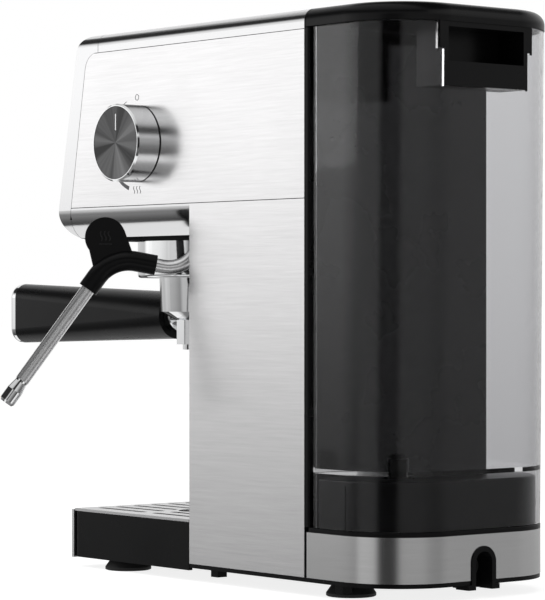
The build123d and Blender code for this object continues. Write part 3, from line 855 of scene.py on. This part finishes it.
@dataclass
class SeamShadeStrips(Assembly):
    """Painted shade: near-black strips set in the seams between the head's panels, where only shade
    falls, in metres.
    """

    recess: float = 0.00025
    depth: float = 0.0012
    gap: float = 0.00033
    corner_radius: float = 0.011
    corner_back: float = 0.0111
    lean: float = 0.1755
    chin_share: float = 0.4
    waist_drop: float = 0.0001
    steps: int = 10

    def build(self) -> list[bpy.types.Object]:
        """Make the shade strips of both sides."""
        low, high = (Vector(corner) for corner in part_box("head_panel_right"))
        column_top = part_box("column_panel_right")[1][2]
        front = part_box("top_rim")[0][1] - self.gap / 2
        top = high.z + self.gap / 2
        foot = low.z - (low.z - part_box("chin_right")[0][2]) * self.chin_share
        level = (column_top + low.z) / 2 - self.waist_drop
        run = self._front_run(front, top, foot)
        centre_x = centre_of("column_front").x
        half = high.x - centre_x
        paths = {
            "rim": [(high.y, top), (front, top)],
            "front": run,
            "waist": [(high.y, level), (self._front_at(run, level), level)],
        }
        return [self._shade_strip(f"seam_{label}_{side}", centre_x, sign * half, path)
                for side, sign in (("right", 1.0), ("left", -1.0))
                for label, path in paths.items()]

    def _front_run(self, front: float, top: float, foot: float) -> list[tuple[float, float]]:
        """Rounded corner and slope of the seam behind the front frame.

        Args:
            front: Y of the seam across the rim.
            top: Height of the seam under the rim.
            foot: Height where the slope ends.

        Returns:
            Points as Y and height, from the rim down.
        """
        corner = front - self.corner_back
        tilt = math.atan(self.lean)
        cut = self.corner_radius * math.tan((math.pi / 2 - tilt) / 2)
        points = [(front, top)]
        for i in range(self.steps + 1):
            turn = math.pi / 2 + (math.pi / 2 - tilt) * i / self.steps
            points.append((corner + cut + self.corner_radius * math.cos(turn),
                           top + self.corner_radius * (math.sin(turn) - 1.0)))
        points.append((corner - (top - foot) * self.lean, foot))
        return points

    @staticmethod
    def _front_at(run: list[tuple[float, float]], height: float) -> float:
        """Y of the slope at a height."""
        (upper_y, upper_z), (lower_y, lower_z) = run[-2:]
        return upper_y + (lower_y - upper_y) * (upper_z - height) / (upper_z - lower_z)

    def _shade_strip(self, name: str, centre_x: float, half: float,
             path: list[tuple[float, float]]) -> bpy.types.Object:
        """One shade strip of rectangular section along a path on a side face.

        Args:
            name: The piece's name.
            centre_x: X of the machine's centre plane.
            half: Signed distance from the centre plane to the side face.
            path: Points as Y and height.

        Returns:
            The new object.
        """
        inward = -math.copysign(1.0, half)
        outer = centre_x + half + inward * self.recess
        inner = outer + inward * self.depth
        mesh = bmesh.new()
        rings = []
        for i, (y, z) in enumerate(path):
            run = run_at(path, i)
            across = Vector((-run.y, run.x)) * self.gap / 2
            rings.append([mesh.verts.new((x, y + side * across.x, z + side * across.y))
                          for x, side in ((outer, 1), (outer, -1), (inner, -1), (inner, 1))])
        for first, second in zip(rings, rings[1:]):
            for i in range(4):
                j = (i + 1) % 4
                mesh.faces.new((first[i], first[j], second[j], second[i]))
        mesh.faces.new(rings[0][::-1])
        mesh.faces.new(rings[-1])
        bmesh.ops.recalc_face_normals(mesh, faces=mesh.faces)
        # The strip is near-black painted shade in the seam.
        return self.attach(add_object(mesh, name), "machine", "soft_rubber", "seam_painted_shade")


# ---- studio ------------------------------------------------------------------------------
@dataclass(frozen=True)
class Softbox:
    """A rectangular lamp, placed from the middle of the machine, in metres and watts."""

    name: str
    offset: tuple[float, float, float]
    aim: tuple[float, float, float]
    size: tuple[float, float]
    power: float

    def hang(self, centre: Vector) -> None:
        """Add the lamp.

        Args:
            centre: Middle of the machine.
        """
        data = bpy.data.lights.new(self.name, "AREA")
        data.shape = "RECTANGLE"
        data.size, data.size_y = self.size
        data.energy = self.power
        lamp = bpy.data.objects.new(self.name, data)
        place = centre + Vector(self.offset)
        facing = (centre + Vector(self.aim) - place).to_track_quat("-Z", "Y")
        lamp.matrix_world = Matrix.Translation(place) @ facing.to_matrix().to_4x4()
        lamp.visible_camera = False
        lamp.visible_glossy = False
        bpy.context.scene.collection.objects.link(lamp)


@dataclass
class Studio:
    """Camera, floor, sky and lamps.

    Each table of the sky holds a place and a grey level: walls by the turn round the machine in
    degrees, the others by the height of the direction, -1 straight down to 1 straight up.
    """

    eye: Vector
    heading: float = 140.726
    lens: float = 166.52
    walls: tuple[tuple[float, float], ...] = (
        (-180.0, 0.80), (-128.0, 1.05), (-80.0, 0.90), (-48.0, 0.66), (-34.0, 0.62),
        (-20.0, 0.50), (-12.0, 1.05), (13.0, 1.0), (21.0, 0.04), (45.0, 0.04), (54.0, 0.75),
        (88.0, 0.75), (100.0, 0.58), (118.0, 0.48), (140.0, 0.68), (180.0, 0.80))
    side_rise: tuple[tuple[float, float], ...] = (
        (-1.0, 0.30), (-0.25, 0.30), (-0.14, 0.32), (-0.09, 0.44), (-0.03, 0.95), (0.02, 1.55),
        (0.07, 1.9), (0.15, 1.9), (0.30, 1.5), (1.0, 1.5))
    rear_rise: tuple[tuple[float, float], ...] = (
        (-1.0, 0.30), (-0.14, 0.40), (-0.09, 0.50), (0.0, 0.66), (0.10, 0.80), (1.0, 0.80))
    near_bands: tuple[tuple[float, float], ...] = (
        (-1.0, 0.25), (-0.72, 0.25), (-0.64, 1.0), (-0.48, 1.0), (-0.465, 0.04), (-0.22, 0.22),
        (0.0, 0.8), (0.26, 0.9), (0.33, 0.45), (0.39, 0.03), (0.58, 0.03), (0.66, 0.6), (1.0, 1.0))
    far_bands: tuple[tuple[float, float], ...] = (
        (-1.0, 0.04), (-0.58, 0.04), (-0.50, 0.55), (-0.35, 1.1), (0.30, 1.0), (0.62, 0.85),
        (0.68, 0.03), (1.0, 0.03))
    band_share: tuple[tuple[float, float], ...] = (
        (-1.0, 1.0), (-0.28, 1.0), (-0.16, 0.0), (0.16, 0.0), (0.28, 1.0))
    side_edge: tuple[float, float] = (1.2, 1.3)
    far_edge: float = 0.42
    far_blur: float = 0.08
    floor_half: float = 12.0
    floor_grey: float = 0.35
    floor_glow: float = 0.84
    lamps: tuple[Softbox, ...] = (
        Softbox("side_softbox", (0.46, -0.46, 0.47), (0.0, 0.0, 0.14), (1.0, 0.8), 4.0),
        Softbox("top_softbox", (0.1, 0.2, 1.5), (0.0, 0.0, 0.0), (1.4, 1.2), 9.0))

    def build(self) -> None:
        """Set up the whole studio."""
        self._camera()
        self._sky()
        self._floor()
        centre = (Vector(CAD_BOX[0]) + Vector(CAD_BOX[1])) / 2
        for lamp in self.lamps:
            lamp.hang(centre)

    def _camera(self) -> None:
        """Level camera behind the steam side."""
        data = bpy.data.cameras.new("camera")
        data.lens = self.lens
        data.sensor_width = 36.0
        data.clip_end = 50.0
        camera = bpy.data.objects.new("camera", data)
        camera.location = self.eye
        camera.rotation_euler = (math.radians(90.0), 0.0, math.radians(self.heading))
        bpy.context.scene.collection.objects.link(camera)
        bpy.context.scene.camera = camera

    def _sky(self) -> None:
        """Grey studio with light and dark walls, and plain white behind the object."""
        world = bpy.data.worlds.new("studio")
        bpy.context.scene.world = world
        world.use_nodes = True
        tree = world.node_tree
        tree.nodes.clear()
        split = add_node(tree, "ShaderNodeSeparateXYZ")
        feed(tree, split.inputs[0], add_node(tree, "ShaderNodeTexCoord").outputs["Generated"])
        height = spread(tree, split.outputs["Z"], -1.0, 1.0)
        share = self._by_height(tree, height, self.band_share)
        room = mix(tree, share, self._walls(tree, split, height), self._bands(tree, split, height))
        camera_ray = add_node(tree, "ShaderNodeLightPath").outputs["Is Camera Ray"]
        glow = add_node(tree, "ShaderNodeBackground")
        feed(tree, glow.inputs["Color"], mix(tree, camera_ray, room, WHITE))
        leave = add_node(tree, "ShaderNodeOutputWorld")
        feed(tree, leave.inputs[0], glow.outputs[0])

    @staticmethod
    def _by_height(tree: bpy.types.NodeTree, height: bpy.types.NodeSocket,
                   table: tuple[tuple[float, float], ...]) -> bpy.types.NodeSocket:
        """Grey level by the height of the direction.

        Args:
            tree: The sky's node tree.
            height: Height of the direction, 0 straight down to 1 straight up.
            table: Height from -1 to 1 and grey level of each stop.

        Returns:
            The socket of the grey level.
        """
        return grey_ramp(tree, height, [((level + 1.0) / 2.0, grey) for level, grey in table])

    def _walls(self, tree: bpy.types.NodeTree, split: bpy.types.Node,
               height: bpy.types.NodeSocket) -> bpy.types.NodeSocket:
        """Tall walls round the machine, brighter with height, most of all beside its panel.

        Args:
            tree: The sky's node tree.
            split: The node that puts out the direction's X, Y and Z.
            height: Height of the direction, 0 straight down to 1 straight up.

        Returns:
            The socket of the walls' grey level.
        """
        around = compute(tree, "ARCTAN2", split.outputs["Y"], split.outputs["X"])
        walls = grey_ramp(tree, spread(tree, around, -math.pi, math.pi),
                          [((turn + 180.0) / 360.0, grey) for turn, grey in self.walls])
        sideways = compute(tree, "SUBTRACT", split.outputs["X"], split.outputs["Y"])
        climb = mix(tree, spread(tree, sideways, *self.side_edge),
                    self._by_height(tree, height, self.rear_rise),
                    self._by_height(tree, height, self.side_rise))
        return mix(tree, 1.0, walls, climb, "MULTIPLY")

    def _bands(self, tree: bpy.types.NodeTree, split: bpy.types.Node,
               height: bpy.types.NodeSocket) -> bpy.types.NodeSocket:
        """Level bands above and below the walls, which differ on the far side.

        Args:
            tree: The sky's node tree.
            split: The node that puts out the direction's X, Y and Z.
            height: Height of the direction, 0 straight down to 1 straight up.

        Returns:
            The socket of the bands' grey level.
        """
        above = compute(tree, "GREATER_THAN", height, 0.5)
        edge = compute(tree, "MULTIPLY_ADD", above, -self.far_edge, split.outputs["X"])
        beyond = spread(tree, edge, -self.far_edge, -self.far_edge - self.far_blur)
        return mix(tree, beyond, self._by_height(tree, height, self.near_bands),
                   self._by_height(tree, height, self.far_bands))

    def _floor(self) -> None:
        """Large pale floor under the feet."""
        mesh = bmesh.new()
        bmesh.ops.create_grid(mesh, x_segments=2, y_segments=2, size=self.floor_half)
        floor = add_object(mesh, "floor")
        material = bpy.data.materials.new("pale_floor")
        material.use_nodes = True
        shader = material.node_tree.nodes["Principled BSDF"]
        shader.inputs["Base Color"].default_value = (*(self.floor_grey,) * 3, 1.0)
        shader.inputs["Roughness"].default_value = 0.9
        shader.inputs["Specular IOR Level"].default_value = 0.0
        shader.inputs["Emission Color"].default_value = WHITE
        shader.inputs["Emission Strength"].default_value = self.floor_glow
        floor.data.materials.append(material)
        floor.visible_glossy = False
        floor.visible_transmission = False


# ---- the whole scene ---------------------------------------------------------------------
PANEL_BACK_LIP = 0.00035
EYE_FROM_CORNER = mm(988.9, 1105.2, 153.7)


def main() -> None:
    """Build the studio and every piece, and log what was made."""
    logging.basicConfig(level=logging.INFO, format="%(name)s: %(message)s")
    bpy.context.scene.view_settings.view_transform = "Standard"
    panel_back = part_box("column_panel_right")[1][1] + PANEL_BACK_LIP
    corner = Vector((centre_of("column_front").x, panel_back, 0.0))
    Studio(eye=corner + EYE_FROM_CORNER).build()
    LOG.info("studio ready")
    wardrobe = Wardrobe()
    wardrobe.dress_frame()
    LOG.info("%d CAD nodes dressed", len(frame["nodes"]))
    for kind in (SteamControl, ThumbTab, ButtonSigns, SeamShadeStrips):
        for piece in kind(wardrobe).build():
            LOG.info("%s: %s", kind.__name__, piece.name)


if __name__ == "__main__":
    main()
